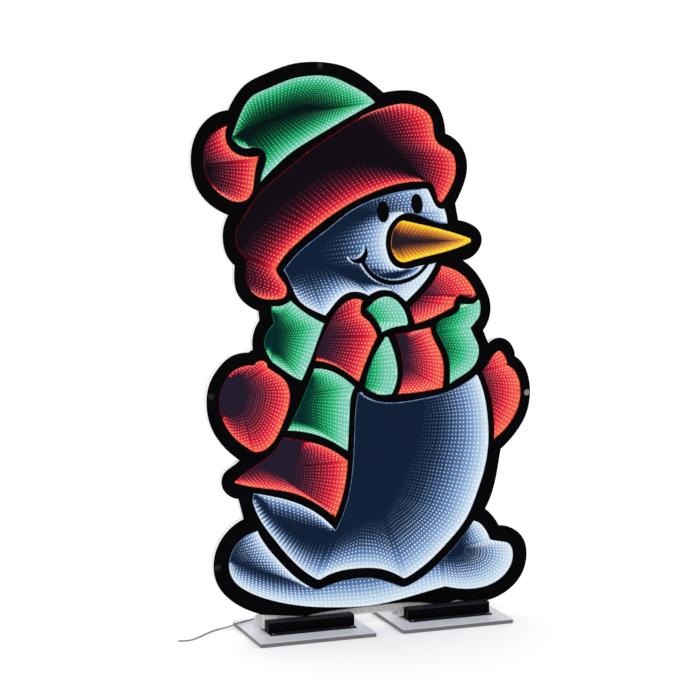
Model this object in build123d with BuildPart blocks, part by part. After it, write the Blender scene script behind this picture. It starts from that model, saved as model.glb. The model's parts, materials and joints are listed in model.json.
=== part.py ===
from build123d import *

import os
from math import atan2, degrees, pi, radians, tan

# A flat, free-standing light sign in the shape of a snowman with a hat and a scarf.
# The sign is a sandwich of sheets. Eighteen cells are cut through its middle sheet,
# and each cell is lined with an LED tape that shines between two mirrors.
# X runs across the sign, Z runs up, and the sign faces -Y. The middle of its
# thickness is Y = 0, and the two foot plates stand on Z = 0.

os.makedirs("parts", exist_ok=True)

# ---------------------------------------------------------------- driving dimensions
sign_thickness = 15.0
film_thickness = 0.2
front_sheet_thickness = 2.8
core_thickness = 9.0
mirror_thickness = 1.5
back_thickness = 1.5

tape_thickness = 1.0
bead_length = 2.8
bead_height = 1.2
bead_pitch = 7.5
bead_corner_gap = 4.0
bead_clearance = 0.8

plate_width = 200.0
plate_depth = 155.0
plate_thickness = 7.0
plate_corner_radius = 3.0
plate_edge_chamfer = 0.5
plate_centres = {"left": -108.6, "right": 138.6}

channel_length = 150.0
channel_centres = {"left": -104.0, "right": 142.0}
channel_top = 27.0
channel_front = -26.0
channel_back = 14.0
flange_front = -38.5
flange_thickness = 1.5
slot_width = 15.2
slot_floor = 10.5
channel_chamfer = 2.2

tongue_bottom = 10.5
tongue_spans = [(-181, -29), (61, 216)]
tongue_bridge_bottom = 20.6
tongue_bridge_span = (-34, 66)
tongue_root = 42.0

ear_radius = 6.5
ear_centres = (-186.5, 56.3)
ear_arm_centres = (-180, 62)
ear_arm_width = 10.0
ear_arm_top = 28.0
upper_ear_place = (-185.5, 27.5)
upper_ear_radius = 7.0
ear_hole_place = (-186.7, 29.3)
ear_hole_radius = 1.2

rivet_radius = 5.2
rivet_places = [(-268, 403), (292, 381), (-81, 931), (-259, 121)]

screw_head_radius = 2.6
screw_head_height = 1.0
screw_head_rounding = 0.5
screw_shank_radius = 1.5
screw_depth = 6.0
screw_inset = 6.0
screw_row = -33.0

gland_place = (-150, 45)
gland_radius = 4.5
gland_neck_radius = 3.0
gland_reach = 5.0
cord_radius = 1.25
gland_outlet = 10.5

# Front faces of the layers, as distances in front of the mid-plane.
film_front = sign_thickness / 2
sheet_front = film_front - film_thickness
core_front = sheet_front - front_sheet_thickness
mirror_front = core_front - core_thickness
back_front = mirror_front - mirror_thickness

# ---------------------------------------------------------------- outlines
# An outline is a list of stretches. Each stretch starts at a corner, and ends at the
# corner that the next one starts from. Two points make a line, three an arc and more
# a spline. Points are (X, Z) in millimetres.
sign_outline = [
    [(-185, 36), (-216, 50), (-243, 70), (-261, 97), (-265.5, 124), (-260, 152), (-245, 176)],
    [(-214, 198)],
    [(-222.5, 232.5), (-240, 239.5), (-250.5, 257), (-247, 275), (-235, 285)],
    [(-220, 295.5), (-248, 321), (-267, 351), (-275, 390), (-270, 423), (-255, 448),
     (-232, 467), (-212, 471.5)],
    [(-204, 471.5)],
    [(-196.5, 476), (-197, 492), (-192, 511)],
    [(-185, 523)],
    [(-186.5, 538), (-206, 549), (-222, 568), (-227, 590)],
    [(-226, 613), (-240, 631), (-245.5, 655), (-243, 679)],
    [(-236, 694), (-262, 708), (-284, 731), (-296, 765), (-297, 790), (-288, 823), (-265, 850)],
    [(-235, 860.5), (-221, 885), (-206, 901), (-175, 917), (-130, 933), (-83, 937),
     (-38, 929.5), (16, 898)],
    [(28.5, 888), (63, 892), (93, 888), (120, 872), (134, 847)],
    [(138.5, 821), (160, 808), (173, 790), (178, 765), (171, 734)],
    [(157, 705.5)],
    [(162.5, 677.5), (190, 668), (203, 655), (205.5, 641), (199, 625.5)],
    [(172, 610), (193, 592), (212, 564.5), (222.5, 535), (221, 513)],
    [(209.5, 491)],
    [(220, 467.5), (232, 475.5), (245, 476.5), (260, 467)],
    [(269, 444.5), (286, 428), (296, 402), (298, 377), (292, 346), (272, 313)],
    [(244, 286), (238, 250), (228, 210)],
    [(216, 185), (232, 169)],
    [(242.5, 153), (270, 145.5), (289, 126), (295, 98), (286, 65), (258, 37.5)],
    [(218.5, 24), (196, 23)],
    [(176, 27.5), (165, 29.7)],
    [(154, 27.5), (138, 25)],
    [(121, 27.3), (97, 31.6), (60, 34.2), (20, 33.4), (-40, 32.3), (-85, 30)],
    [(-108, 26.5), (-145, 31)],
]

cells = {
    "pompom": [
        [(-235, 837), (-240, 822), (-237, 808), (-226, 794), (-212, 787.5)],
        [(-183, 788), (-190, 766), (-193, 745), (-197, 727), (-207, 717), (-222, 715),
         (-243, 723), (-262, 740), (-274, 762), (-277, 787), (-271, 812), (-255, 829)],
    ],
    "hat_crown": [
        [(-230, 817), (-221, 840), (-210, 864), (-198, 880), (-170, 894), (-131, 909),
         (-91, 915), (-57, 912), (-28, 900), (-5, 888)],
        [(15, 872), (-3, 863), (-52, 837), (-90, 816), (-130, 792), (-159, 768)],
        [(-182, 746), (-178, 765), (-173, 782), (-176, 795), (-189, 801), (-206, 800), (-220, 806)],
    ],
    "hat_brim": [
        [(-206, 624), (-218, 635), (-225, 652), (-224, 670), (-214, 687), (-195, 715),
         (-177, 735), (-150, 757), (-107, 790), (-51, 826), (-20, 844)],
        [(16, 860), (38, 866), (63, 870), (90, 865), (110, 852), (117, 835), (121, 813),
         (135, 799), (150, 790), (158, 772), (157, 750), (148, 729)],
        [(136, 710), (131, 708)],
        [(126, 710), (120, 729), (113, 740), (100, 742.5), (66, 741), (25, 731), (-20, 713),
         (-70, 684), (-112, 653), (-140, 628)],
        [(-156, 606), (-147, 588), (-138, 572), (-141, 560.5), (-157, 556), (-180, 558.5),
         (-198, 570), (-207, 588), (-207.5, 606)],
    ],
    "face": [
        [(107, 730.5), (115, 717), (121, 705), (128, 698)],
        [(138, 697.5), (142, 685)],
        [(144, 672.5), (105, 682), (66, 690), (49, 680), (38, 664), (34, 643), (38, 622),
         (49, 605), (66, 599), (85, 601)],
        [(103, 604.5), (90, 591), (72, 583), (50, 580), (30, 583.5), (12, 594), (1, 606)],
        [(-3, 614), (1.5, 626)],
        [(-2, 638), (-5, 626), (-14, 618.5)],
        [(-30, 620), (-21, 611.5)],
        [(-9, 611), (0, 597), (15, 583), (33, 574.5), (54, 573), (75, 577.5), (94, 588)],
        [(110, 605)],
        [(124, 608), (110, 584), (92, 564)],
        [(70, 544), (57, 555), (43, 563), (27, 565), (13, 561.5)],
        [(4, 556.5), (-10, 562.5), (-23, 564), (-38, 560), (-55, 546)],
        [(-72, 526.5), (-95, 537), (-115, 550.5), (-127, 569), (-135, 588)],
        [(-144, 603), (-107, 641), (-70, 667), (-28, 697), (13, 715), (60, 727)],
    ],
    "nose": [
        [(64, 679), (110, 668.5), (150, 658)],
        [(183, 647), (187, 642.5)],
        [(183, 638.5), (148, 627), (110, 619)],
        [(72, 610.5), (56, 613), (45, 628), (42.5, 645), (47, 664), (56, 675.5)],
    ],
    "scarf_left": [
        [(-165, 546), (-148, 545.5)],
        [(-132, 553.5), (-117, 540), (-98, 526.5)],
        [(-74, 513.5), (-90, 473), (-105, 437)],
        [(-113, 421.5), (-130, 430), (-147, 442)],
        [(-163, 453.5), (-174, 472), (-177.5, 488), (-173, 502)],
        [(-160, 518), (-164, 530)],
    ],
    "scarf_knot_left": [
        [(-6, 548), (-10, 537), (-8.5, 525), (2, 516), (12, 504)],
        [(19, 488), (5, 460), (-6, 434)],
        [(-13, 414), (-31, 428), (-57, 444)],
        [(-89, 452.5), (-78, 490), (-69, 507), (-59, 526), (-44, 543), (-30, 551), (-17, 552)],
    ],
    "scarf_knot_top": [
        [(-1, 534.5), (12, 546), (28, 553.5), (44, 552), (60, 540), (70, 523)],
        [(74, 508)],
        [(72, 505), (50, 502.5)],
        [(27, 495), (18, 513)],
    ],
    "scarf_right_upper": [
        [(132.5, 602), (155, 595.5), (175, 583), (190, 565)],
        [(197, 551)],
        [(194, 547), (182, 547), (168, 550.5), (160, 545)],
        [(156.5, 533), (140, 525), (113, 514)],
        [(86, 506.5), (81, 520)],
        [(76, 534), (96, 552), (113, 570)],
    ],
    "scarf_right_end": [
        [(167, 538), (180, 536)],
        [(192, 536.5)],
        [(202, 544), (205.5, 530), (203, 515), (195, 504)],
        [(187.5, 496), (196, 478), (202.5, 462), (202, 447), (193, 430), (172, 415)],
        [(149, 402), (149, 430), (147, 448), (137, 471)],
        [(124, 496)],
        [(125.5, 504.5), (147, 516.5), (160, 522)],
    ],
    "scarf_leaf": [
        [(39, 485), (45, 472), (52, 450), (55.5, 428), (53, 408)],
        [(45.5, 391), (18, 392.5)],
        [(-3, 405), (3, 431), (14, 458)],
        [(30, 483), (35, 487)],
    ],
    "scarf_lower": [
        [(50, 491), (80, 494)],
        [(115, 500), (118, 485), (130, 462), (138, 440), (139, 418)],
        [(137, 397), (100, 392)],
        [(55.5, 390), (63, 415), (64, 438), (59, 466)],
    ],
    "scarf_tail": [
        [(-92, 440), (-70, 437), (-48, 427)],
        [(-20.5, 405.5), (-26, 394), (-29, 371), (-31, 330)],
        [(-33, 299), (-55, 314), (-80, 327), (-105, 335)],
        [(-138.5, 340), (-112, 392)],
    ],
    "scarf_tail_end": [
        [(-145, 330), (-105, 320), (-75, 310), (-50, 296)],
        [(-33, 283), (-36, 250), (-43, 220)],
        [(-55, 189), (-90, 216), (-125, 234), (-165, 244), (-205, 252)],
        [(-231, 260), (-195, 285), (-168, 302), (-152, 320)],
    ],
    "mitten_left": [
        [(-195, 450), (-215, 449), (-236, 438), (-250, 416), (-254.5, 390), (-247, 361),
         (-230, 335), (-212, 319)],
        [(-196, 308.5), (-180, 309), (-165, 319), (-148, 347), (-136, 378), (-133.5, 400),
         (-142, 423), (-158, 436)],
        [(-172, 446), (-177, 456), (-186, 457)],
    ],
    "mitten_right": [
        [(208, 422), (219, 434), (229, 448), (240, 454.5), (249, 448)],
        [(255, 429), (268, 421), (278, 403), (281, 380), (277, 357), (262, 330)],
        [(231, 303), (230.5, 340), (224, 378)],
    ],
    "belly": [
        [(-55, 168), (-45, 187), (-33, 221), (-25, 270), (-22, 320), (-18.5, 378)],
        [(-15.5, 394), (-11, 397)],
        [(-5, 392.5), (20, 380), (58, 376.5), (100, 380.5), (148, 390), (180, 404.5)],
        [(198, 416)],
        [(202, 413), (214, 379), (221, 335), (222, 300), (216, 257), (202, 214), (182, 170),
         (150, 133), (110, 98)],
        [(75, 77), (71, 75.5)],
        [(66, 76.5), (48, 87), (25, 95.5), (-12, 99.5), (-50, 97)],
        [(-77, 88), (-83, 86)],
        [(-89, 88), (-130, 122), (-162, 161), (-187, 197)],
        [(-199, 228)],
        [(-197, 240), (-160, 231), (-122, 218), (-85, 196.5)],
    ],
    "snow_base": [
        [(-190.5, 177), (-213, 169), (-232, 150), (-240, 124), (-232, 98), (-208, 77),
         (-160, 56), (-105, 42.5), (-45, 35.5), (20, 34.5), (80, 43)],
        [(144, 55), (180, 47.5), (215, 48), (245, 59), (264, 78), (270, 99), (263, 119), (248, 125)],
        [(227, 130), (219, 146), (208, 159)],
        [(194.5, 165), (172, 136), (135, 100), (100, 74.5)],
        [(78, 64), (67, 61.5)],
        [(57, 64), (32, 74.5), (7, 81.5), (-25, 82.5), (-55, 78.5)],
        [(-80, 71), (-87, 70)],
        [(-94, 72), (-125, 93.5), (-155, 125), (-178, 154)],
    ],
}

eyes = [((28.3, 694), (10.6, 17.8), 4), ((88.1, 705.8), (10.4, 16.9), 7)]


def draw_outline(stretches):
    """Draw a closed outline in the line being built."""
    following = stretches[1:] + stretches[:1]
    for stretch, after in zip(stretches, following):
        points = stretch + after[:1]
        if len(points) == 2:
            Line(*points)
        elif len(points) == 3:
            ThreePointArc(*points)
        else:
            Spline(*points)


def filled(stretches):
    """Return the flat face inside an outline."""
    with BuildSketch() as area:
        with BuildLine():
            draw_outline(stretches)
        make_face()
    return area.sketch


def in_front(distance):
    """Return the upright plane that lies this far in front of the mid-plane."""
    return Plane.XZ.offset(distance)


sign_face = filled(sign_outline)
cell_faces = {name: filled(stretches) for name, stretches in cells.items()}

# The sheets run on below the printed shape as a tongue, which the foot channels hold.
with BuildSketch() as tongue_sketch:
    for start, end in tongue_spans:
        with Locations((start, tongue_bottom)):
            Rectangle(end - start, tongue_root - tongue_bottom, align=Align.MIN)
    bridge_start, bridge_end = tongue_bridge_span
    with Locations((bridge_start, tongue_bridge_bottom)):
        Rectangle(bridge_end - bridge_start, tongue_root - tongue_bridge_bottom, align=Align.MIN)
tongue_face = tongue_sketch.sketch

# Only the front and the back sheet have the rounded ears beside the channels.
with BuildSketch() as ear_sketch:
    with Locations(upper_ear_place):
        Circle(upper_ear_radius)
    with Locations(*[(x, tongue_bottom + ear_radius) for x in ear_centres]):
        Circle(ear_radius)
    with Locations(*[(x, (tongue_bottom + ear_arm_top) / 2) for x in ear_arm_centres]):
        Rectangle(ear_arm_width, ear_arm_top - tongue_bottom)
    with Locations(ear_hole_place):
        Circle(ear_hole_radius, mode=Mode.SUBTRACT)
ear_face = ear_sketch.sketch


def sheet_face(with_ears, with_cells):
    """Return the face that the sheets share: sign and tongue, less the rivet holes."""
    with BuildSketch() as area:
        add(sign_face)
        add(tongue_face)
        if with_ears:
            add(ear_face)
        if with_cells:
            for cell_face in cell_faces.values():
                add(cell_face, mode=Mode.SUBTRACT)
        with Locations(*rivet_places):
            Circle(rivet_radius, mode=Mode.SUBTRACT)
    return area.sketch


def save(part, name):
    """Label a finished piece and write it to its own file."""
    part.label = name
    export_step(part, f"parts/{name}.step")


# ---------------------------------------------------------------- sheets
# The black print: the border and the lines between the cells.
with BuildPart() as outline_film:
    with BuildSketch(in_front(sheet_front)):
        add(sign_face)
        for cell_face in cell_faces.values():
            add(cell_face, mode=Mode.SUBTRACT)
        with Locations(*rivet_places):
            Circle(rivet_radius, mode=Mode.SUBTRACT)
    extrude(amount=film_thickness)
save(outline_film.part, "outline_film")

# The two printed eyes lie inside the face window.
with BuildPart() as eye_prints:
    with BuildSketch(in_front(sheet_front)):
        for centre, (half_width, half_height), lean in eyes:
            with Locations(Location((*centre, 0), (0, 0, lean))):
                Ellipse(half_width, half_height)
    extrude(amount=film_thickness)
save(eye_prints.part, "eye_prints")

# The clear sheet with the one-way mirror coating.
with BuildPart() as front_sheet:
    with BuildSketch(in_front(core_front)):
        add(sheet_face(with_ears=True, with_cells=False))
    extrude(amount=front_sheet_thickness)
save(front_sheet.part, "front_sheet")

# The white board with the eighteen cells cut through it.
with BuildPart() as spacer_core:
    with BuildSketch(in_front(mirror_front)):
        add(sheet_face(with_ears=False, with_cells=True))
    extrude(amount=core_thickness)
save(spacer_core.part, "spacer_core")

with BuildPart() as rear_mirror:
    with BuildSketch(in_front(back_front)):
        add(sheet_face(with_ears=False, with_cells=False))
        with Locations(gland_place):
            Circle(gland_neck_radius, mode=Mode.SUBTRACT)
    extrude(amount=mirror_thickness)
save(rear_mirror.part, "rear_mirror")

with BuildPart() as back_sheet:
    with BuildSketch(in_front(back_front - back_thickness)):
        add(sheet_face(with_ears=True, with_cells=False))
        with Locations(gland_place):
            Circle(gland_neck_radius, mode=Mode.SUBTRACT)
    extrude(amount=back_thickness)
save(back_sheet.part, "back_sheet")

# Rivets clamp the sandwich near its rim.
with BuildPart() as sheet_rivets:
    with BuildSketch(in_front(-sign_thickness / 2)):
        with Locations(*rivet_places):
            Circle(rivet_radius)
    extrude(amount=sign_thickness)
save(sheet_rivets.part, "sheet_rivets")


# ---------------------------------------------------------------- LED tapes
def led_tape(cell_face):
    """Return the tape that stands on edge round the inside of a cell."""
    with BuildSketch() as inside:
        add(cell_face)
        offset(amount=-tape_thickness, mode=Mode.REPLACE)
    with BuildPart() as tape:
        with BuildSketch(in_front(mirror_front)):
            add(cell_face)
            add(inside.sketch.face().to_splines(), mode=Mode.SUBTRACT)
        extrude(amount=core_thickness)
    return tape.part


def bead_places(stretches, cell_face):
    """Return where the beads of a cell sit, and how far each is turned."""
    with BuildLine() as outline:
        draw_outline(stretches)
    reach = tape_thickness + bead_height / 2
    rim = cell_face.face().outer_wire()
    places = []
    for edge in outline.edges():
        usable = edge.length - 2 * bead_corner_gap
        count = max(1, int(usable // bead_pitch) + 1)
        for index in range(count):
            along = (edge.length - (count - 1) * bead_pitch) / 2 + index * bead_pitch
            fraction = along / edge.length
            point = edge.position_at(fraction)
            tangent = edge.tangent_at(fraction)
            normal = Vector(-tangent.Y, tangent.X)
            inside = cell_face.face().is_inside(point + normal * reach)
            centre = point + normal * (reach if inside else -reach)
            clear_of_walls = rim.distance_to(centre) > reach - 0.05
            least_gap = bead_length + bead_clearance
            clear_of_beads = all((centre - other).length > least_gap for other, _ in places)
            if clear_of_walls and clear_of_beads:
                places.append((centre, degrees(atan2(tangent.Y, tangent.X))))
    return places


def led_beads(places):
    """Return the beads of a cell, halfway between the two mirrors."""
    with BuildPart() as beads:
        with BuildSketch(in_front(-bead_length / 2)):
            for centre, turn in places:
                with Locations(Location((centre.X, centre.Y, 0), (0, 0, turn))):
                    Rectangle(bead_length, bead_height)
        extrude(amount=bead_length)
    return beads.part


bead_total = 0
for cell_name, cell_stretches in cells.items():
    save(led_tape(cell_faces[cell_name]), f"led_tape_{cell_name}")
    cell_beads = bead_places(cell_stretches, cell_faces[cell_name])
    save(led_beads(cell_beads), f"led_beads_{cell_name}")
    bead_total += len(cell_beads)
print("LED beads:", bead_total)

# ---------------------------------------------------------------- feet
for side, centre_x in plate_centres.items():
    channel_x = channel_centres[side]
    screw_places = [(channel_x + sign * (channel_length / 2 - screw_inset), screw_row) for sign in (-1, 1)]

    with BuildPart() as base_plate:
        with BuildSketch():
            with Locations((centre_x, 0)):
                RectangleRounded(plate_width, plate_depth, plate_corner_radius)
        extrude(amount=plate_thickness)
        top_rim = base_plate.edges().group_by(Axis.Z)[-1]
        chamfer(top_rim, length=plate_edge_chamfer)
        with Locations(*[(x, y, plate_thickness) for x, y in screw_places]):
            Hole(screw_shank_radius, depth=screw_depth)
    save(base_plate.part, f"base_plate_{side}")

    # The channel: a flange, a deep block in front of the slot and a thin wall behind it.
    flange_top = plate_thickness + flange_thickness
    with BuildPart() as foot_channel:
        with BuildSketch(Plane.YZ.offset(channel_x - channel_length / 2)):
            with BuildLine():
                Polyline(
                    (flange_front, plate_thickness),
                    (flange_front, flange_top),
                    (channel_front, flange_top),
                    (channel_front, channel_top - channel_chamfer),
                    (channel_front + channel_chamfer, channel_top),
                    (-slot_width / 2, channel_top),
                    (-slot_width / 2, slot_floor),
                    (slot_width / 2, slot_floor),
                    (slot_width / 2, channel_top),
                    (channel_back, channel_top),
                    (channel_back, plate_thickness),
                    close=True,
                )
            make_face()
        extrude(amount=channel_length)
        with Locations(*[(x, y, flange_top) for x, y in screw_places]):
            Hole(screw_shank_radius, depth=flange_thickness)
    save(foot_channel.part, f"foot_channel_{side}")

    # Two screws fix each flange to its plate.
    with BuildPart() as flange_screws:
        with BuildSketch(Plane.XY.offset(flange_top)):
            with Locations(*screw_places):
                Circle(screw_head_radius)
        extrude(amount=screw_head_height)
        head_rims = flange_screws.edges().group_by(Axis.Z)[-1]
        fillet(head_rims, radius=screw_head_rounding)
        with BuildSketch(Plane.XY.offset(flange_top)):
            with Locations(*screw_places):
                Circle(screw_shank_radius)
        extrude(amount=-(flange_thickness + screw_depth))
    save(flange_screws.part, f"flange_screws_{side}")

# ---------------------------------------------------------------- power cord
# The gland sits in the back sheet and holds the cord.
gland_back = -(back_front - back_thickness) + gland_reach
with BuildPart() as cable_gland:
    with BuildSketch(in_front(-gland_back)):
        with Locations(gland_place):
            Circle(gland_radius)
    extrude(amount=gland_reach)
    with BuildSketch(in_front(back_front - back_thickness)):
        with Locations(gland_place):
            Circle(gland_neck_radius)
    extrude(amount=back_thickness + mirror_thickness)
    with BuildSketch(in_front(-gland_back)):
        with Locations(gland_place):
            Circle(cord_radius)
    extrude(amount=gland_reach + back_thickness, mode=Mode.SUBTRACT)
save(cable_gland.part, "cable_gland")

# The cord leaves the gland, drops to the left plate, runs off its edge and lies on the ground.
cord_start_y = -(back_front - back_thickness)
cord_route = [
    (-150, cord_start_y, 45),
    (-150, cord_start_y + gland_outlet, 45),
    (-153.5, 29, 40.5),
    (-158.5, 40, 32.5),
    (-164, 50.5, 22.5),
    (-170, 59.5, 14),
    (-179, 65, 9.3),
    (-190.5, 64.3, 8.4),
    (-200.5, 57.5, 8.5),
    (-210.5, 50.5, 9.4),
    (-221.5, 50.5, 4.8),
    (-232.5, 54.5, 2.4),
    (-244.5, 52.8, 1.3),
    (-258, 42.5, 1.3),
    (-283, 19.5, 1.3),
    (-300, 5.5, 1.3),
    (-311.5, 3.8, 1.3),
    (-323, 8, 1.3),
]


def bend_radii(route):
    """Return the largest radius that each corner's two runs allow."""
    corners = [Vector(*point) for point in route]
    radii = []
    for before, here, after in zip(corners, corners[1:], corners[2:]):
        shorter_run = min((here - before).length, (after - here).length)
        turn = (here - before).get_angle(after - here)
        radii.append(0.45 * shorter_run / tan(radians(turn) / 2))
    return radii


cord_radii = bend_radii(cord_route)
print("cord radii:", [round(radius, 1) for radius in cord_radii])
with BuildPart() as power_cord:
    with BuildLine() as cord_path:
        FilletPolyline(*cord_route, radius=cord_radii)
    with BuildSketch(Plane(origin=cord_route[0], z_dir=(0, 1, 0))):
        Circle(cord_radius)
    sweep()
save(power_cord.part, "power_cord")
cord_length = cord_path.wire().length
print("cord length:", round(cord_length, 1))
plain_volume = pi * cord_radius**2 * cord_length
print("cord volume ratio:", round(power_cord.part.volume / plain_volume, 4))
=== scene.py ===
import json
import math

import bpy
import numpy as np
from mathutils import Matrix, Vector
from mathutils.geometry import delaunay_2d_cdt
from mathutils.kdtree import KDTree

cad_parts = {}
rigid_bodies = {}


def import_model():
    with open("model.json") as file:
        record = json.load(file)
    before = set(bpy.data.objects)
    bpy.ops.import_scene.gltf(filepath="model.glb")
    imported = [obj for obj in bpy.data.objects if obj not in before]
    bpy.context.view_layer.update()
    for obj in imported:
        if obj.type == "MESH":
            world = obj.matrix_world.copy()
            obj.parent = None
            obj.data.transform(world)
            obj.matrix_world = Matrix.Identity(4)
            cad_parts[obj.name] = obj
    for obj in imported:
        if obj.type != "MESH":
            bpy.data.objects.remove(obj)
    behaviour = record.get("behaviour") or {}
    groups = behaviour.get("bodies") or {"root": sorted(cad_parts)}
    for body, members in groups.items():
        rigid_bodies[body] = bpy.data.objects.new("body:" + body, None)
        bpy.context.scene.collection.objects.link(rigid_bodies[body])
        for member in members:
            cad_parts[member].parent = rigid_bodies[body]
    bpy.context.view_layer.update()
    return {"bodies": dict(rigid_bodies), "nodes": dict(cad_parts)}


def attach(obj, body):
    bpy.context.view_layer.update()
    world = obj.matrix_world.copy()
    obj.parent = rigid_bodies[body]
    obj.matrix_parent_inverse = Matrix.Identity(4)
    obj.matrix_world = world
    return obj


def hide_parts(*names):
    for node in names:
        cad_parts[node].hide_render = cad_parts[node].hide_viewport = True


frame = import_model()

MM = 0.001
nodes = frame["nodes"]
body = sorted(frame["bodies"])[0]
collection = bpy.context.scene.collection

# ---------------------------------------------------------------- camera
camera_data = bpy.data.cameras.new("camera")
camera_data.lens = 104
camera_data.sensor_width = 36
camera = bpy.data.objects.new("camera", camera_data)
camera.location = (-1.1792, -3.0985, 0.890)
camera.rotation_euler = (math.radians(90 - 7.29), 0, math.radians(-20.4))
collection.objects.link(camera)
bpy.context.scene.camera = camera


# ---------------------------------------------------------------- materials
def to_linear(rgb):
    """sRGB colours, 0 to 255, as linear values."""
    v = np.asarray(rgb) / 255
    return np.where(v <= 0.04045, v / 12.92, ((v + 0.055) / 1.055) ** 2.4)


def linear(rgb):
    """One sRGB colour, 0 to 255, as linear values with alpha."""
    return (*to_linear(rgb), 1.0)


def new_material(name):
    """A material with its one Principled shader, and its node tree."""
    m = bpy.data.materials.new(name)
    m.use_nodes = True
    return m, m.node_tree, m.node_tree.nodes["Principled BSDF"]


def wandering_colour(tree, scale, detail, low, high):
    """A noise and a colour ramp over it, each colour given with its place on the ramp."""
    coords = tree.nodes.new("ShaderNodeTexCoord")
    noise = tree.nodes.new("ShaderNodeTexNoise")
    noise.inputs["Scale"].default_value = scale
    noise.inputs["Detail"].default_value = detail
    ramp = tree.nodes.new("ShaderNodeValToRGB")
    for element, (place, rgb) in zip(ramp.color_ramp.elements, (low, high)):
        element.position = place
        element.color = linear(rgb)
    tree.links.new(coords.outputs["Object"], noise.inputs["Vector"])
    tree.links.new(noise.outputs["Fac"], ramp.inputs["Fac"])
    return noise, ramp


def grained(name, low, high, roughness, specular, scale=300, bump=0.0, alpha=1.0, metallic=0.0):
    """Plastic or metal whose colour wanders between two shades, with a fine bump."""
    m, tree, shader = new_material(name)
    noise, ramp = wandering_colour(tree, scale, 5, (0.3, low), (0.7, high))
    tree.links.new(ramp.outputs["Color"], shader.inputs["Base Color"])
    shader.inputs["Roughness"].default_value = roughness
    shader.inputs["Specular IOR Level"].default_value = specular
    shader.inputs["Alpha"].default_value = alpha
    shader.inputs["Metallic"].default_value = metallic
    if bump:
        relief = tree.nodes.new("ShaderNodeBump")
        relief.inputs["Strength"].default_value = bump
        relief.inputs["Distance"].default_value = 0.0002
        tree.links.new(noise.outputs["Fac"], relief.inputs["Height"])
        tree.links.new(relief.outputs["Normal"], shader.inputs["Normal"])
    return m


def blacken(shader, roughness):
    """Leave a surface no colour and no shine of its own."""
    shader.inputs["Base Color"].default_value = (0, 0, 0, 1)
    shader.inputs["Roughness"].default_value = roughness
    shader.inputs["Specular IOR Level"].default_value = 0.0


def lit_by_attribute(name):
    """A surface that shows the light stored in its mesh's glow colours."""
    m, tree, shader = new_material(name)
    blacken(shader, 0.6)
    stored = tree.nodes.new("ShaderNodeVertexColor")
    stored.layer_name = "glow"
    tree.links.new(stored.outputs["Color"], shader.inputs["Emission Color"])
    shader.inputs["Emission Strength"].default_value = 1.0
    return m


def lit_tape(name, dim, bright):
    """A lit surface whose colour swells and fades a little, for tapes, LEDs, dots and edges."""
    m, tree, shader = new_material(name)
    blacken(shader, 0.6)
    noise, ramp = wandering_colour(tree, 140, 2, (0.35, dim), (0.65, bright))
    tree.links.new(ramp.outputs["Color"], shader.inputs["Emission Color"])
    shader.inputs["Emission Strength"].default_value = 1.0
    return m


def paint(name, material):
    """Give a CAD node its finish."""
    slots = nodes[name].data.materials
    slots.clear()
    slots.append(material)


# Light inside a cell, from none to its brightest, to be added to the painted shade that the cell has where no
# light comes.
GLOW = {
    "white": [(0, (0, 0, 0)), (0.3, (12, 24, 40)), (0.5, (42, 65, 100)), (0.7, (88, 125, 175)),
              (0.85, (145, 180, 220)), (1, (210, 230, 245))],
    "red": [(0, (0, 0, 0)), (0.3, (45, 6, 18)), (0.5, (98, 10, 28)), (0.7, (175, 18, 42)),
            (0.85, (232, 32, 56)), (1, (253, 92, 76))],
    "green": [(0, (0, 0, 0)), (0.3, (0, 38, 20)), (0.5, (0, 82, 45)), (0.7, (10, 145, 85)),
              (0.85, (48, 186, 126)), (1, (132, 212, 190))],
    "yellow": [(0, (0, 0, 0)), (0.3, (72, 34, 16)), (0.5, (148, 75, 28)), (0.7, (204, 115, 31)),
               (0.85, (240, 158, 24)), (1, (255, 222, 20))],
}
DOT = {
    "white": [(0, (25, 45, 70)), (0.3, (100, 120, 145)), (0.5, (190, 205, 230)), (0.7, (245, 250, 255)),
              (1, (255, 255, 255))],
    "red": [(0, (30, 25, 40)), (0.3, (130, 65, 85)), (0.5, (200, 90, 105)), (0.75, (250, 122, 136)),
            (1, (255, 192, 164))],
    "green": [(0, (10, 40, 36)), (0.3, (42, 115, 80)), (0.5, (75, 190, 135)), (0.75, (122, 236, 182)),
              (1, (232, 254, 250))],
    "yellow": [(0, (60, 45, 50)), (0.3, (205, 130, 88)), (0.5, (252, 186, 103)), (0.75, (255, 225, 110)),
               (1, (255, 248, 120))],
}
TAPE = {"white": ((205, 226, 246), (235, 245, 254)), "red": ((240, 60, 50), (255, 120, 72)),
        "green": ((110, 205, 172), (170, 230, 210)), "yellow": ((248, 180, 20), (255, 224, 44))}
# Painted shade: dim copies of each hue's glow, for the fronts of tapes and LEDs along walls that show no
# reflections, and for the lit line along those walls.
DIM_GLOW = {"white": ((84, 114, 160), (130, 162, 204)), "red": ((70, 6, 18), (126, 14, 30)),
       "green": ((0, 90, 55), (30, 140, 95)), "yellow": ((200, 110, 20), (240, 170, 20))}
STEPS = 12                           # how many shades the dots of one hue have


def ramp_colour(ramp, values):
    """sRGB colours, 0 to 255, for values from 0 to 1."""
    at = [place for place, colour in ramp]
    return np.stack([np.interp(values, at, [c[i] for place, c in ramp]) for i in range(3)], axis=-1)


dot_materials = {}
for hue, ramp in DOT.items():
    shades = ramp_colour(ramp, (np.arange(STEPS) + 0.5) / STEPS)
    dot_materials[hue] = [lit_tape(f"dot_{hue}_{i}", shade * 0.96, shade) for i, shade in enumerate(shades)]
glow_material = lit_by_attribute("cell_glow")
tape_materials = {hue: lit_tape(f"tape_{hue}", *pair) for hue, pair in TAPE.items()}
dim_glow_materials = {hue: lit_tape(f"rim_{hue}", *pair) for hue, pair in DIM_GLOW.items()}
bead_materials = {hue: lit_tape(f"bead_{hue}", ramp[-2][1], ramp[-1][1]) for hue, ramp in DOT.items()}

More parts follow.
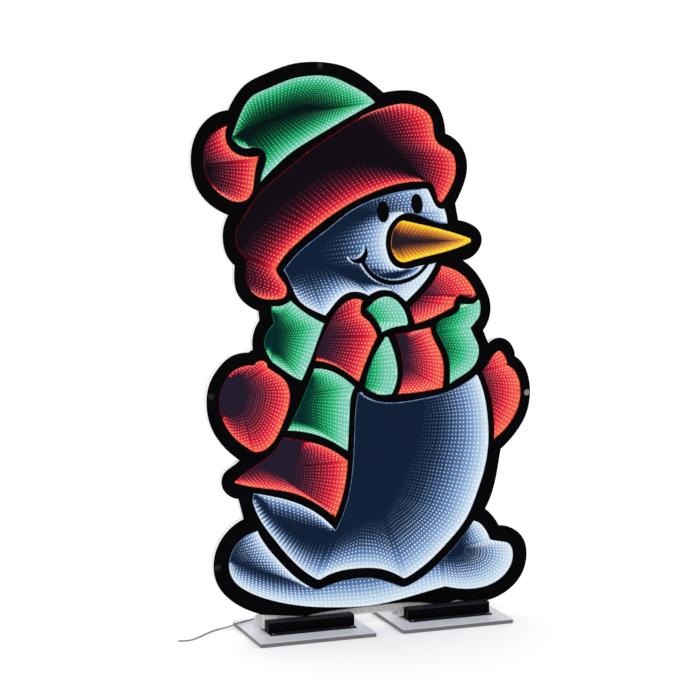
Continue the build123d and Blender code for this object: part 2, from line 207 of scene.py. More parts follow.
# ---------------------------------------------------------------- power cord
cord_route = [
    (-150, 7.5, 45),
    (-150, 18, 45),
    (-153.5, 29, 40.5),
    (-158.5, 40, 32.5),
    (-164, 50.5, 22.5),
    (-170, 59.5, 14),
    (-179, 65, 9.3),
    (-190.5, 64.3, 8.4),
    (-200.5, 57.5, 8.5),
    (-210.5, 50.5, 9.4),
    (-221.5, 50.5, 4.8),
    (-232.5, 54.5, 2.4),
    (-244.5, 52.8, 1.3),
    (-258, 42.5, 1.3),
    (-283, 19.5, 1.3),
    (-300, 5.5, 1.3),
    (-311.5, 3.8, 1.3),
    (-323, 8, 1.3),
]
CORD_RADIUS = 1.25 * MM             # set on each point, so that the curve's own box is true
cord_curve = bpy.data.curves.new("power_lead", "CURVE")
cord_curve.dimensions = "3D"
spline = cord_curve.splines.new("NURBS")
spline.points.add(len(cord_route) - 1)
for point, place in zip(spline.points, cord_route):
    point.co = (*[v * MM for v in place], 1)
    point.radius = CORD_RADIUS
spline.order_u = 3
spline.use_endpoint_u = True
spline.resolution_u = 10
cord_curve.bevel_depth = 1
cord_curve.bevel_resolution = 4
cord_curve.use_fill_caps = True
cord = bpy.data.objects.new("power_lead", cord_curve)
collection.objects.link(cord)
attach(cord, body)
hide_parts("power_cord")
cord_curve.materials.append(grained("cord_jacket", (105, 105, 110), (140, 140, 146), 0.5, 0.3, scale=900))

# ---------------------------------------------------------------- cells
EYE = np.array([-1179.0, 890.0])     # where the camera stands, as X and Z
EYE_DISTANCE = 3098.0                # from the camera to the mid-plane
FRONT_Y = -7.5                       # the front of the sign
FLOOR_Y = 4.2                        # the lit picture lies just in front of the mirror
DOT_Y = 4.0
FRONT_TO_FLOOR = FLOOR_Y - FRONT_Y
FRONT_TO_DOTS = DOT_Y - FRONT_Y
FRONT_TO_BEADS = 0 - FRONT_Y
SAMPLE = 1.5                         # the spacing of the light samples
SPREAD = 3.6                         # how far a light sample reaches
HIDDEN_BY = 0.14                     # a dot is lost in light that is this much brighter
EDGE_Y = -4.3                        # just behind the front sheet
EDGE_WIDTH = 1.0
SMILE_START = (-36, 630)             # the smile lies right of and below this point of the face
DOT_RADIUS = {"white": 1.6, "red": 1.5, "green": 1.4, "yellow": 1.1}
PICTURE_STEP = 2.4                   # the spacing of the points inside a lit picture
PICTURE_MARGIN = 1.0                 # how far they stay from its outline
DOT_CORNERS = 8
FAR_DOT = 0.4                        # the area of the last dot, as a share of the first
FRONT_FACING = -0.9                  # a normal's Y below this faces the front
FAINTEST = 0.05                      # the lowest light level at which a dot shows
PAIR = 0.46                          # the second dot of each pair, in round trips
SHRINK = 0.965                       # how much shorter each round trip looks than the last

# The colours of painted shade that the cells have where no light comes.
NAVY = (18, 34, 58)
PINE = (8, 24, 24)
TEAL = (8, 44, 48)
SHADE_BLACK = (20, 15, 22)
PLUM = (36, 30, 48)
UMBER = (36, 30, 42)

# How light falls off along a run: where on the way it has died out, and how long it lasts
# before it falls, where 1 is an even fall.
EARLY = (0.8, 0.8)
EVEN = (1, 1)
LATE = (1, 1.5)
LATEST = (1, 2)

# Each cell's hue, its colour where no light comes, and how its bowed mirrors draw its wall
# inwards. A run is a stretch of wall, given by places along it. At each place stand the wall's
# own point, the point where its reflections end, and the number of round trips between the
# mirrors until then, all as they look from the camera's side. Before them stand how much of
# the way shows before something else hides the rest, and how the light falls off along it.
# Walls without a run stay dark.
cells = {
    "pompom": ("red", SHADE_BLACK, [
        (1, *EVEN, [((-237, 833), (-275, 812), 4), ((-240, 815), (-290, 795), 5),
             ((-226, 794), (-285, 781), 6), ((-205, 787), (-268, 777), 6), ((-187, 788), (-285, 778), 8)]),
        (1, *EVEN, [((-186, 783), (-285, 776), 8), ((-190, 766), (-264, 770), 7),
             ((-193, 745), (-270, 762), 8), ((-198, 725), (-266, 748), 7), ((-222, 715), (-264, 742), 5),
             ((-243, 723), (-264, 746), 3), ((-262, 740), (-269, 752), 1)])]),
    "hat_crown": ("green", PINE, [
        (1, *EVEN, [((-228, 822), (-216, 827), 2), ((-212, 862), (-196, 832), 4),
             ((-190, 886), (-181, 838), 6), ((-150, 902), (-152, 850), 6), ((-110, 912), (-130, 860), 6),
             ((-70, 913), (-113, 866), 7), ((-30, 902), (-104, 868), 8), ((0, 884), (-95, 867), 9),
             ((13, 873), (-80, 864), 9)]),
        (1, *EVEN, [((12, 871), (-70, 860), 8), ((-20, 854), (-92, 859), 7), ((-52, 837), (-112, 857), 7),
             ((-90, 816), (-140, 850), 7), ((-130, 792), (-176, 838), 7), ((-159, 768), (-200, 822), 7),
             ((-180, 750), (-212, 808), 6)]),
        (1, *LATE, [((-200, 801), (-214, 814), 1), ((-220, 806), (-226, 820), 1)])]),
    "hat_brim": ("red", SHADE_BLACK, [
        (1, *EARLY, [((-198, 570), (-216, 590), 3), ((-180, 558), (-226, 592), 5),
             ((-150, 557), (-245, 600), 8), ((-139, 572), (-252, 612), 9), ((-156, 606), (-238, 642), 8),
             ((-130, 636), (-218, 668), 8), ((-100, 662), (-188, 698), 8), ((-70, 684), (-142, 738), 8),
             ((-20, 713), (-78, 775), 8), ((25, 731), (-15, 784), 6), ((66, 741), (40, 770), 4),
             ((98, 742), (86, 751), 1)]),
        (1, *EVEN, [((131, 708), (108, 742), 4), ((140, 716), (98, 752), 5), ((150, 735), (82, 762), 6),
             ((158, 765), (66, 778), 8), ((150, 790), (50, 795), 8), ((135, 799), (42, 803), 8),
             ((121, 813), (32, 812), 8), ((117, 835), (18, 824), 8), ((105, 857), (4, 836), 8),
             ((80, 868), (-12, 846), 7), ((50, 869), (-28, 846), 6), ((20, 861), (-36, 842), 4),
             ((-10, 848), (-42, 836), 2)])]),
    "face": ("white", NAVY, [
        (1, *EVEN, [((66, 691), (5, 690), 6), ((49, 680), (-38, 672), 7), ((38, 664), (-70, 652), 9),
             ((34, 643), (-84, 632), 9), ((38, 622), (-76, 612), 9), ((49, 605), (-28, 603), 6),
             ((66, 599), (20, 599), 4)]),
        (1, *EVEN, [((98, 730), (-40, 704), 9), ((115, 717), (-20, 701), 10), ((128, 698), (0, 696), 10),
             ((142, 685), (30, 693), 9), ((144, 673), (70, 691), 6)]),
        (1, *EVEN, [((85, 601), (-12, 596), 7), ((103, 604), (-16, 586), 9)]),
        (1, *LATEST, [((124, 608), (55, 584), 6), ((110, 584), (28, 576), 7), ((92, 564), (10, 572), 6),
             ((72, 546), (14, 570), 5)]),
        (1, *EVEN, [((43, 563), (20, 574), 2), ((13, 561), (-12, 580), 3), ((-10, 562), (-35, 590), 4),
             ((-38, 560), (-62, 604), 5), ((-55, 546), (-85, 607), 6), ((-72, 527), (-105, 605), 8),
             ((-95, 537), (-122, 600), 6), ((-115, 550), (-131, 592), 4), ((-127, 569), (-134, 582), 1)])]),
    "nose": ("yellow", UMBER, [
        (1, *EVEN, [((56, 675), (50, 660), 2), ((70, 678), (56, 652), 4), ((100, 671), (78, 648), 4),
             ((130, 663), (104, 646), 4), ((160, 654), (122, 645), 5), ((180, 648), (134, 644), 6),
             ((187, 642), (138, 643), 6), ((175, 635), (130, 643), 6), ((148, 627), (112, 642), 5),
             ((110, 619), (82, 641), 5), ((80, 611), (60, 640), 5), ((60, 611), (50, 636), 4),
             ((48, 622), (46, 636), 1)])]),
    "scarf_left": ("green", TEAL, [
        (1, *LATE, [((-160, 545), (-162, 533), 1), ((-148, 546), (-157, 528), 2),
             ((-132, 553), (-157, 522), 5), ((-117, 540), (-157, 516), 6), ((-98, 526), (-157, 510), 6),
             ((-74, 513), (-157, 503), 8), ((-90, 473), (-156, 490), 7), ((-105, 437), (-154, 477), 7),
             ((-115, 423), (-153, 468), 6), ((-140, 437), (-157, 470), 4), ((-160, 452), (-164, 472), 3),
             ((-173, 470), (-168, 481), 1)])]),
    "scarf_knot_left": ("red", PLUM, [
        (1, *EVEN, [((-25, 552), (-66, 526), 4), ((-8, 546), (-78, 522), 6), ((-9, 528), (-80, 512), 7),
             ((12, 504), (-78, 502), 8), ((19, 488), (-78, 492), 9), ((5, 460), (-80, 475), 8),
             ((-6, 434), (-84, 464), 8), ((-13, 415), (-74, 452), 6), ((-31, 428), (-74, 450), 4),
             ((-57, 444), (-82, 455), 2), ((-88, 452), (-84, 460), 1)])]),
    "scarf_knot_top": ("green", TEAL, [
        (1, *LATEST, [((12, 546), (-25, 538), 4), ((28, 553), (-32, 538), 5), ((60, 540), (-38, 532), 8),
             ((72, 520), (-36, 526), 9), ((74, 508), (-30, 520), 9), ((50, 502), (-25, 514), 6),
             ((28, 496), (-12, 514), 4)])]),
    "scarf_right_upper": ("red", PLUM, [
        (1, *LATE, [((133, 602), (92, 576), 4), ((155, 595), (94, 567), 6), ((175, 583), (94, 562), 7),
             ((190, 565), (92, 558), 8), ((197, 551), (94, 556), 8)]),
        (1, *LATE, [((160, 546), (80, 553), 6), ((156, 533), (72, 546), 7), ((140, 525), (66, 541), 6),
             ((113, 514), (60, 536), 5), ((88, 507), (54, 529), 4)])]),
    "scarf_right_end": ("green", TEAL, [
        (1, *LATE, [((175, 537), (130, 523), 4), ((204, 535), (108, 513), 8), ((195, 504), (104, 496), 8),
             ((187, 496), (104, 488), 7), ((202, 455), (118, 470), 8), ((193, 430), (112, 455), 7),
             ((172, 415), (114, 445), 6), ((150, 402), (116, 432), 4)])]),
    "scarf_leaf": ("green", TEAL, [
        (1, *LATEST, [((30, 484), (4, 466), 3), ((39, 485), (-8, 464), 5), ((52, 450), (-22, 448), 7),
             ((55, 428), (-28, 430), 7), ((47, 395), (-26, 412), 6), ((18, 392), (-22, 408), 4)])]),
    "scarf_lower": ("red", PLUM, [
        (1, *LATE, [((80, 494), (68, 484), 1), ((100, 498), (70, 482), 4), ((115, 500), (68, 478), 6),
             ((118, 485), (66, 470), 6), ((130, 462), (66, 456), 7), ((139, 418), (64, 445), 8),
             ((138, 398), (64, 438), 8), ((115, 394), (62, 432), 6), ((85, 391), (60, 425), 4),
             ((58, 390), (57, 415), 3)])]),
    "scarf_tail": ("green", TEAL, [
        (1, *LATE, [((-92, 440), (-97, 428), 1), ((-70, 437), (-96, 417), 3),
             ((-48, 427), (-102, 407), 5), ((-22, 407), (-108, 400), 9), ((-28, 371), (-116, 385), 9),
             ((-31, 330), (-114, 365), 9), ((-33, 300), (-108, 350), 9)]),
        (1, *LATE, [((-36, 303), (-80, 340), 4), ((-80, 327), (-102, 350), 3),
             ((-105, 335), (-115, 353), 2), ((-135, 340), (-132, 358), 2)])]),
    "scarf_tail_end": ("red", PLUM, [
        (1, *EVEN, [((-100, 319), (-122, 305), 2), ((-75, 310), (-120, 298), 4),
             ((-50, 297), (-128, 290), 6), ((-34, 283), (-132, 280), 9), ((-37, 250), (-132, 265), 9),
             ((-45, 215), (-134, 252), 9), ((-55, 190), (-130, 246), 9)]),
        (1, *EVEN, [((-60, 193), (-115, 243), 6), ((-90, 216), (-132, 252), 5),
             ((-125, 234), (-160, 272), 5), ((-165, 244), (-196, 288), 6), ((-205, 252), (-228, 276), 4),
             ((-228, 259), (-236, 268), 1)])]),
    "mitten_left": ("red", PLUM, [
        (1, *EVEN, [((-250, 361), (-241, 374), 1), ((-230, 335), (-230, 373), 4),
             ((-212, 319), (-220, 381), 6), ((-190, 308), (-217, 386), 8), ((-165, 319), (-214, 391), 8),
             ((-148, 347), (-213, 397), 8), ((-136, 378), (-213, 402), 8), ((-133, 400), (-213, 407), 8),
             ((-142, 423), (-213, 412), 7), ((-158, 436), (-214, 417), 6), ((-177, 456), (-216, 423), 6),
             ((-190, 455), (-217, 427), 4), ((-215, 449), (-221, 435), 2), ((-236, 438), (-232, 431), 1)])]),
    "mitten_right": ("red", PLUM, [
        (1, *LATE, [((232, 450), (200, 424), 4), ((249, 448), (194, 423), 6), ((255, 429), (192, 419), 6),
             ((268, 421), (192, 414), 7), ((278, 403), (194, 409), 8), ((281, 380), (198, 399), 8),
             ((277, 357), (203, 388), 8), ((262, 330), (200, 370), 7), ((245, 313), (196, 345), 5),
             ((233, 304), (204, 325), 3)])]),
    "belly": ("white", NAVY, [
        (1, *EVEN, [((196, 416), (103, 389), 9), ((208, 395), (98, 380), 9), ((218, 350), (95, 351), 10),
             ((222, 300), (88, 312), 10), ((216, 257), (74, 280), 10), ((202, 214), (58, 250), 11),
             ((182, 170), (46, 222), 11), ((150, 133), (41, 208), 10), ((110, 98), (37, 198), 9),
             ((71, 76), (31, 190), 9), ((48, 87), (20, 187), 8), ((25, 95), (8, 184), 7),
             ((-12, 99), (-10, 178), 6), ((-50, 97), (-32, 166), 6), ((-83, 86), (-60, 153), 6),
             ((-105, 98), (-88, 149), 6), ((-130, 122), (-112, 155), 6), ((-162, 161), (-146, 180), 4),
             ((-187, 197), (-174, 207), 4), ((-198, 225), (-189, 229), 1)]),
        (0.62, *EARLY, [((-185, 238), (-182, 230), 1), ((-160, 231), (-160, 180), 5),
             ((-122, 218), (-120, 164), 5), ((-85, 196), (-86, 163), 4), ((-60, 172), (-64, 164), 1)])]),
    "snow_base": ("white", NAVY, [
        (1, *EVEN, [((-190, 176), (-234, 157), 5), ((-178, 154), (-240, 144), 7),
             ((-155, 125), (-232, 131), 7), ((-140, 108), (-200, 115), 6), ((-125, 93), (-168, 103), 4),
             ((-100, 76), (-126, 90), 3)]),
        (1, *LATE, [((-240, 124), (-232, 128), 1), ((-232, 98), (-226, 127), 4),
             ((-208, 77), (-206, 118), 5), ((-185, 66), (-186, 108), 5), ((-160, 56), (-163, 100), 5),
             ((-130, 48), (-136, 93), 5), ((-105, 42), (-115, 93), 5), ((-45, 35), (-55, 112), 6),
             ((20, 34), (5, 114), 6), ((80, 43), (55, 128), 7), ((110, 49), (98, 132), 7),
             ((144, 55), (136, 112), 6), ((180, 47), (160, 108), 6), ((215, 48), (168, 110), 6),
             ((245, 59), (172, 113), 7), ((264, 78), (173, 115), 8), ((270, 99), (174, 117), 8),
             ((263, 119), (174, 119), 8), ((248, 125), (173, 120), 6), ((227, 130), (172, 122), 5),
             ((219, 146), (170, 126), 4), ((208, 159), (175, 138), 4), ((196, 165), (178, 148), 2)])]),
}


def welded(mesh):
    """A mesh's points in mm with doubles joined, and its faces over them."""
    points = np.array([v.co[:] for v in mesh.vertices]) * 1000
    keys = np.round(points * 500).astype(np.int64)
    _, first, index = np.unique(keys, axis=0, return_index=True, return_inverse=True)
    index = index.ravel()
    return points[first], [[index[v] for v in p.vertices] for p in mesh.polygons]


def tape_inside(mesh):
    """The tape's inner edge on the mirror, in order, as X and Z."""
    points, faces = welded(mesh)
    back = points[:, 1].max() - 0.01
    count = {}
    for face in faces:
        if all(points[v][1] > back for v in face):
            for a, b in zip(face, face[1:] + face[:1]):
                edge = (min(a, b), max(a, b))
                count[edge] = count.get(edge, 0) + 1
    links = {}
    for (a, b), n in count.items():
        if n == 1 and a != b:
            links.setdefault(a, []).append(b)
            links.setdefault(b, []).append(a)
    loops = []
    left = set(links)
    while left:
        start = min(left)
        loop = [start]
        left.discard(start)
        while True:
            onward = [v for v in links[loop[-1]] if v in left]
            if not onward:
                break
            loop.append(onward[0])
            left.discard(onward[0])
        loops.append(points[loop][:, [0, 2]])
    return min(loops, key=lambda l: abs(area(l)))


def area(loop):
    """Twice the signed area inside a loop."""
    x, z = loop[:, 0], loop[:, 1]
    return float(np.sum(x * np.roll(z, -1) - z * np.roll(x, -1)))


def bead_centres(mesh):
    """The middle of each bead, as X and Z."""
    points, faces = welded(mesh)
    parent = list(range(len(points)))

    def root(v):
        while parent[v] != v:
            parent[v] = parent[parent[v]]
            v = parent[v]
        return v

    for face in faces:
        for v in face[1:]:
            parent[root(v)] = root(face[0])
    groups = {}
    for v in range(len(points)):
        groups.setdefault(root(v), []).append(v)
    return np.array([points[g].mean(axis=0)[[0, 2]] for g in groups.values()])


def smooth(low, high, values):
    """0 below low, 1 above high and a smooth step between."""
    t = np.clip((values - low) / (high - low), 0, 1)
    return t * t * (3 - 2 * t)


def behind(points, depth):
    """Where points seen on the front of the sign lie at some depth behind it, from the camera's side."""
    return points + (points - EYE) * depth / EYE_DISTANCE


def followed(wall, anchors):
    """The places along a run of wall, as rows of index, X, Z, end X, end Z and round trips."""
    at = [int(np.linalg.norm(wall - np.array(anchor[0]), axis=1).argmin()) for anchor in anchors]
    rows = []
    for i in range(len(anchors) - 1):
        way = (at[i + 1] - at[i]) % len(wall)
        if way > len(wall) / 2:
            way -= len(wall)
        steps = max(1, abs(way))
        start = np.array([*anchors[i][1], anchors[i][2]], float)
        finish = np.array([*anchors[i + 1][1], anchors[i + 1][2]], float)
        for step in range(steps + 1):
            index = (at[i] + (step if way >= 0 else -step)) % len(wall)
            rows.append([index, *wall[index], *(start + (finish - start) * step / steps)])
    return np.array(rows)


def level_at(share, reach, bulge):
    """How bright reflections are at a share of the way from their wall to their end."""
    return 1 - np.minimum(1, share / reach) ** bulge


def light_field(reflections):
    """All lit places of a cell as a search tree over X and Z, and the light level at each."""
    places = []
    levels = []
    for stop, reach, bulge, rows in reflections:
        starts = rows[:, 1:3]
        ends = behind(rows[:, 3:5], FRONT_TO_FLOOR)
        for a, b, c, d in zip(starts, starts[1:], ends, ends[1:]):
            between = max(1, int(np.linalg.norm(d - c) / SAMPLE))
            for i in range(between):
                start = a + (b - a) * i / between
                end = c + (d - c) * i / between
                count = max(2, int(np.linalg.norm(end - start) * stop / SAMPLE) + 1)
                shares = np.linspace(0, stop, count)
                places.append(start + (end - start) * shares[:, None])
                levels.append(level_at(shares, reach, bulge))
    places = np.concatenate(places)
    levels = np.concatenate(levels)
    tree = KDTree(len(places))
    for number, (x, z) in enumerate(places):
        tree.insert((x, z, 0), number)
    tree.balance()
    return tree, levels


def brightness(points, light):
    """The light level at each point of a cell's picture."""
    tree, levels = light
    out = np.zeros(len(points))
    for number, (x, z) in enumerate(points):
        found = tree.find_range((x, z, 0), SPREAD)
        if found:
            away = np.array([distance for place, index, distance in found])
            near = levels[[index for place, index, distance in found]]
            out[number] = np.max(near * (1 - smooth(SPREAD / 2, SPREAD, away)))
    return out


def new_piece(name, vertices, faces):
    """A mesh piece that rides on the sign."""
    mesh = bpy.data.meshes.new(name)
    mesh.from_pydata([tuple(v) for v in vertices], [], [tuple(int(i) for i in f) for f in faces])
    mesh.update()
    piece = bpy.data.objects.new(name, mesh)
    collection.objects.link(piece)
    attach(piece, body)
    return piece


def cell_picture(name, hue, dark, loop, light):
    """The lit picture that a cell's mirrors show, lying just in front of the back one."""
    low, high = loop.min(axis=0), loop.max(axis=0)
    across, up = (np.arange(low[axis] + 1, high[axis], PICTURE_STEP) for axis in (0, 1))
    grid_x, grid_z = np.meshgrid(across, up)
    grid = np.stack([grid_x.ravel(), grid_z.ravel()], axis=1)
    inside = crossing_count(grid, loop) % 2 == 1
    grid = grid[inside]
    outline = resampled(loop, SAMPLE)
    away = np.min(np.linalg.norm(grid[:, None] - outline[None], axis=2), axis=1)
    grid = grid[away > PICTURE_MARGIN]
    flat = [Vector(p) for p in loop] + [Vector(p) for p in grid]
    made = delaunay_2d_cdt(flat, [], [list(range(len(loop)))], 1, 1e-6)
    points = np.array([v[:] for v in made[0]])
    faces = made[2]
    vertices = np.stack([points[:, 0], np.full(len(points), FLOOR_Y), points[:, 1]], axis=1) * MM
    piece = new_piece(f"glow_{name}", vertices, faces)
    level = brightness(points, light)
    colours = np.ones((len(points), 4), np.float32)
    unlit = np.array(dark) * (1 - level[:, None]) ** 2
    colours[:, :3] = to_linear(np.minimum(255, ramp_colour(GLOW[hue], level) + unlit))
    stored = piece.data.color_attributes.new("glow", "FLOAT_COLOR", "POINT")
    stored.data.foreach_set("color", colours.ravel())
    piece.data.materials.append(glow_material)


def resampled(loop, step):
    """Points along a loop, no further apart than the step."""
    out = []
    for a, b in zip(loop, np.roll(loop, -1, axis=0)):
        n = max(1, int(np.linalg.norm(b - a) / step))
        out.extend(a + (b - a) * i / n for i in range(n))
    return np.array(out)


def crossing_count(points, loop):
    """How many walls a ray to the right of each point crosses."""
    a = loop
    b = np.roll(loop, -1, axis=0)
    count = np.zeros(len(points), int)
    for (ax, az), (bx, bz) in zip(a, b):
        if az == bz:
            continue
        spans = (az > points[:, 1]) != (bz > points[:, 1])
        at = ax + (points[:, 1] - az) / (bz - az) * (bx - ax)
        count += spans & (points[:, 0] < at)
    return count


def cell_dots(name, hue, wall, beads, reflections, light):
    """The reflected LEDs of a cell, smaller and fainter with each round trip."""
    fine_wall = resampled(wall, 1)
    nearest = [int(np.linalg.norm(fine_wall - bead, axis=1).argmin()) for bead in beads]
    seen = behind(beads, -FRONT_TO_BEADS)
    places = []
    levels = []
    sizes = []
    for stop, reach, bulge, rows in reflections:
        rows_by_index = {int(row[0]): row for row in rows}
        for bead, index in zip(seen, nearest):
            row = rows_by_index.get(index)
            if row is None:
                continue
            end, last = row[3:5], row[5]
            for half in range(1, int(2 * last)):
                trips = half // 2 + (PAIR if half % 2 else 0)
                share = (1 - SHRINK ** trips) / (1 - SHRINK ** last)
                level = level_at(share, reach, bulge)
                if share > stop or level < FAINTEST:
                    break
                places.append(behind(bead + (end - bead) * share, FRONT_TO_DOTS))
                levels.append(level)
                sizes.append(DOT_RADIUS[hue] * (FAR_DOT + (1 - FAR_DOT) * (1 - share)) ** 0.5)
    places = np.array(places)
    shown = crossing_count(places, wall) % 2 == 1
    shown &= np.array(levels) > brightness(places, light) - HIDDEN_BY
    turn = np.arange(DOT_CORNERS) * 2 * math.pi / DOT_CORNERS
    ring = np.stack([np.cos(turn), np.sin(turn)], axis=1)
    vertices = []
    faces = []
    shades = []
    for place, level, size, visible in zip(places, levels, sizes, shown):
        if not visible:
            continue
        first = len(vertices)
        for x, z in place + ring * size:
            vertices.append((x * MM, DOT_Y * MM, z * MM))
        faces.append(list(range(first, first + DOT_CORNERS)))
        shades.append(min(STEPS - 1, int(level * STEPS)))
    piece = new_piece(f"dots_{name}", vertices, faces)
    for material in dot_materials[hue]:
        piece.data.materials.append(material)
    piece.data.polygons.foreach_set("material_index", shades)


def light_sides(node, lit_material, dim_material, fine_wall, seen_lit):
    """Light a tape or its LEDs, but leave the fronts dim along walls that show no reflections."""
    paint(node.name, lit_material)
    mesh = node.data
    mesh.materials.append(dim_material)
    turned = node.matrix_world
    slots = []
    for face in mesh.polygons:
        place = turned @ face.center
        dim = False
        if face.normal.y < FRONT_FACING:
            away = np.hypot(fine_wall[:, 0] - place.x / MM, fine_wall[:, 1] - place.z / MM)
            dim = int(away.argmin()) not in seen_lit
        slots.append(int(dim))
    mesh.polygons.foreach_set("material_index", slots)


def tape_edge(name, hue, fine_wall, seen_lit):
    """The thin lit line that the front sheet shows along walls without reflections.

    It leaves out the smile, which is only printed on the sheet."""
    turn = 1 if area(fine_wall) > 0 else -1
    along = np.roll(fine_wall, -1, axis=0) - np.roll(fine_wall, 1, axis=0)
    inward = np.stack([-along[:, 1], along[:, 0]], axis=1) * turn
    inward = inward / np.maximum(np.linalg.norm(inward, axis=1), 1e-9)[:, None]
    inner = fine_wall + inward * EDGE_WIDTH
    vertices = []
    for i in range(len(fine_wall)):
        onward = (i + 1) % len(fine_wall)
        x, z = fine_wall[i]
        if name == "face" and x > SMILE_START[0] and z < SMILE_START[1]:
            continue
        if i not in seen_lit and onward not in seen_lit:
            corners = (fine_wall[i], fine_wall[onward], inner[onward], inner[i])
            vertices.extend((x * MM, EDGE_Y * MM, z * MM) for x, z in corners)
    if not vertices:
        return
    faces = [range(first, first + 4) for first in range(0, len(vertices), 4)]
    piece = new_piece(f"edge_{name}", vertices, faces)
    piece.data.materials.append(dim_glow_materials[hue])


for name, (hue, dark, runs) in cells.items():
    tape = nodes[f"led_tape_{name}"]
    wall = tape_inside(tape.data)
    fine_wall = resampled(wall, 1)
    beads = bead_centres(nodes[f"led_beads_{name}"].data)
    reflections = [(stop, reach, bulge, followed(fine_wall, anchors)) for stop, reach, bulge, anchors in runs]
    seen_lit = {int(row[0]) for run in reflections for row in run[3]}
    light_sides(tape, tape_materials[hue], dim_glow_materials[hue], fine_wall, seen_lit)
    light_sides(nodes[f"led_beads_{name}"], bead_materials[hue], dim_glow_materials[hue], fine_wall, seen_lit)
    light = light_field(reflections)
    cell_picture(name, hue, dark, wall, light)
    cell_dots(name, hue, wall, beads, reflections, light)
    tape_edge(name, hue, fine_wall, seen_lit)

# ---------------------------------------------------------------- finishes of the CAD pieces
TONGUE_TOP = 34.5 * MM               # the board's face is inked black above this height


def compared(tree, value, operation, limit):
    """A node that says whether a value is below or above a limit."""
    node = tree.nodes.new("ShaderNodeMath")
    node.operation = operation
    node.inputs[1].default_value = limit
    tree.links.new(value, node.inputs[0])
    return node.outputs[0]


def recoloured(m, where, rgb):
    """Mix another colour into a grained material where a node says so."""
    tree = m.node_tree
    base = tree.nodes["Principled BSDF"].inputs["Base Color"]
    mix = tree.nodes.new("ShaderNodeMix")
    mix.data_type = "RGBA"
    tree.links.new(base.links[0].from_socket, mix.inputs["A"])
    mix.inputs["B"].default_value = linear(rgb)
    tree.links.new(where, mix.inputs["Factor"])
    tree.links.new(mix.outputs["Result"], base)
    return m


def axis_value(tree, node_type, output, axis):
    """One axis of the surface's normal or of its place on the object."""
    source = tree.nodes.new(node_type)
    split = tree.nodes.new("ShaderNodeSeparateXYZ")
    tree.links.new(source.outputs[output], split.inputs[0])
    return split.outputs[axis]


def board_material():
    """White board, inked black on its face above the tongue."""
    m = grained("white_board", (222, 220, 220), (234, 232, 231), 0.6, 0.2, scale=400, bump=0.1)
    tree = m.node_tree
    facing = axis_value(tree, "ShaderNodeNewGeometry", "Normal", "Y")
    height = axis_value(tree, "ShaderNodeTexCoord", "Object", "Z")
    to_front = compared(tree, facing, "LESS_THAN", FRONT_FACING)
    above = compared(tree, height, "GREATER_THAN", TONGUE_TOP)
    inked = tree.nodes.new("ShaderNodeMath")
    inked.operation = "MULTIPLY"
    tree.links.new(to_front, inked.inputs[0])
    tree.links.new(above, inked.inputs[1])
    return recoloured(m, inked.outputs[0], (4, 4, 6))


def sheet_material():
    """Clear sheet with a faint smoky tint that wanders a little."""
    m, tree, shader = new_material("one_way_sheet")
    blacken(shader, 0.1)
    coords = tree.nodes.new("ShaderNodeTexCoord")
    noise = tree.nodes.new("ShaderNodeTexNoise")
    noise.inputs["Scale"].default_value = 8
    tint = tree.nodes.new("ShaderNodeMapRange")
    tint.inputs["To Min"].default_value = 0.01
    tint.inputs["To Max"].default_value = 0.05
    tree.links.new(coords.outputs["Object"], noise.inputs["Vector"])
    tree.links.new(noise.outputs["Fac"], tint.inputs["Value"])
    tree.links.new(tint.outputs["Result"], shader.inputs["Alpha"])
    return m


def mirror_material():
    """A silvered sheet, smoke dark on the side that faces the cells."""
    m = grained("mirror_back", (150, 155, 165), (175, 178, 186), 0.15, 0.5, scale=30, metallic=0.9)
    tree = m.node_tree
    facing = axis_value(tree, "ShaderNodeNewGeometry", "Normal", "Y")
    return recoloured(m, compared(tree, facing, "LESS_THAN", FRONT_FACING), (16, 18, 24))


def plate_material():
    """Grey plates, with painted shade darkening their side faces."""
    m = grained("plate_grey", (204, 207, 218), (220, 221, 224), 0.3, 0.3, scale=25)
    tree = m.node_tree
    upright = axis_value(tree, "ShaderNodeNewGeometry", "Normal", "Z")
    # painted shade: faces that don't point up are darker
    return recoloured(m, compared(tree, upright, "LESS_THAN", 0.5), (104, 102, 107))


def channel_material():
    """Black feet, with a little painted highlight on their tops."""
    m = grained("channel_black", (1, 1, 2), (4, 4, 6), 0.4, 0.03, scale=700, bump=0.08)
    tree = m.node_tree
    upright = axis_value(tree, "ShaderNodeNewGeometry", "Normal", "Z")
    # painted highlight on the faces that point up
    return recoloured(m, compared(tree, upright, "GREATER_THAN", 0.5), (30, 30, 38))


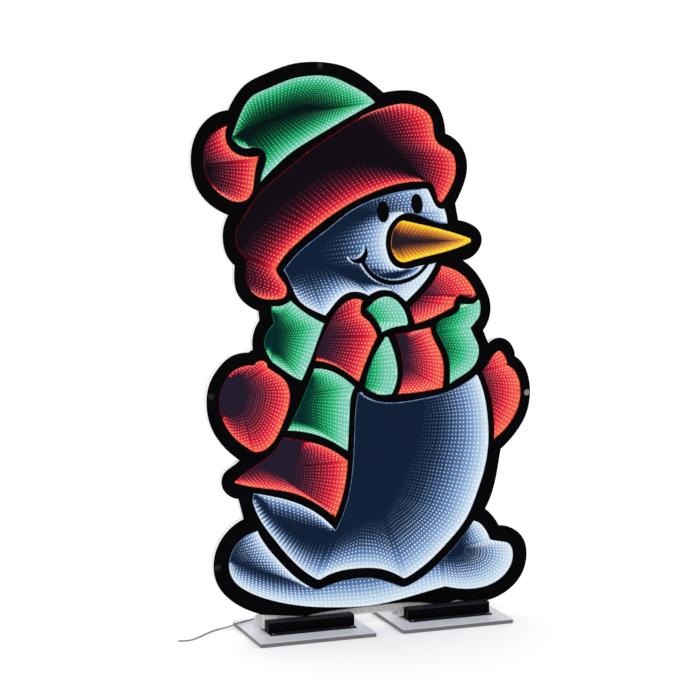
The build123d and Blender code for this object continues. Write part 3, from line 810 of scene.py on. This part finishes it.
def rivet_material():
    """Smoky translucent rivets, with painted light making those on the right palest."""
    m = grained("rivet_grey", (14, 13, 15), (30, 28, 30), 0.3, 0.1, scale=500)
    tree = m.node_tree
    across = axis_value(tree, "ShaderNodeTexCoord", "Object", "X")
    # painted light: rivets right of 0.2 m across are pale, as if lit through from behind
    return recoloured(m, compared(tree, across, "GREATER_THAN", 0.2), (122, 118, 112))


paint("outline_film", grained("black_film", (2, 2, 3), (5, 5, 7), 0.4, 0.015, scale=60))
paint("eye_prints", grained("eye_film", (2, 2, 3), (5, 5, 7), 0.4, 0.015, scale=60))
paint("front_sheet", sheet_material())
paint("spacer_core", board_material())
paint("rear_mirror", mirror_material())
paint("back_sheet", grained("back_sheet", (212, 214, 219), (219, 221, 226), 0.3, 0.4, scale=120))
paint("sheet_rivets", rivet_material())
plate_grey = plate_material()
channel_black = channel_material()
screw_steel = grained("screw_steel", (120, 120, 124), (160, 160, 164), 0.3, 0.5, scale=1200, metallic=1.0)
for side in ("left", "right"):
    paint(f"base_plate_{side}", plate_grey)
    paint(f"foot_channel_{side}", channel_black)
    paint(f"flange_screws_{side}", screw_steel)
paint("cable_gland", grained("gland_black", (18, 18, 19), (28, 28, 30), 0.5, 0.3, scale=800, bump=0.1))

# ---------------------------------------------------------------- floor and light
floor_mesh = bpy.data.meshes.new("floor")
floor_mesh.from_pydata([(-60, -60, 0), (60, -60, 0), (60, 60, 0), (-60, 60, 0)], [], [(0, 1, 2, 3)])
floor = bpy.data.objects.new("floor", floor_mesh)
collection.objects.link(floor)
floor_mesh.materials.append(grained("floor_white", (253, 253, 254), (255, 255, 255), 0.8, 0.0, scale=3))

world = bpy.data.worlds.new("studio")
world.use_nodes = True
world.node_tree.nodes["Background"].inputs["Color"].default_value = (1, 1, 1, 1)
world.node_tree.nodes["Background"].inputs["Strength"].default_value = 1.1
bpy.context.scene.world = world
light_data = bpy.data.lights.new("softbox", "AREA")
light_data.shape = "RECTANGLE"
light_data.size = 2.5
light_data.size_y = 2.0
light_data.energy = 14
light = bpy.data.objects.new("softbox", light_data)
light.location = (-1.6, -2.0, 2.6)
light.rotation_euler = (Vector((0, 0, 0.4)) - light.location).to_track_quat("-Z", "Y").to_euler()
collection.objects.link(light)
bpy.context.scene.view_settings.view_transform = "Standard"
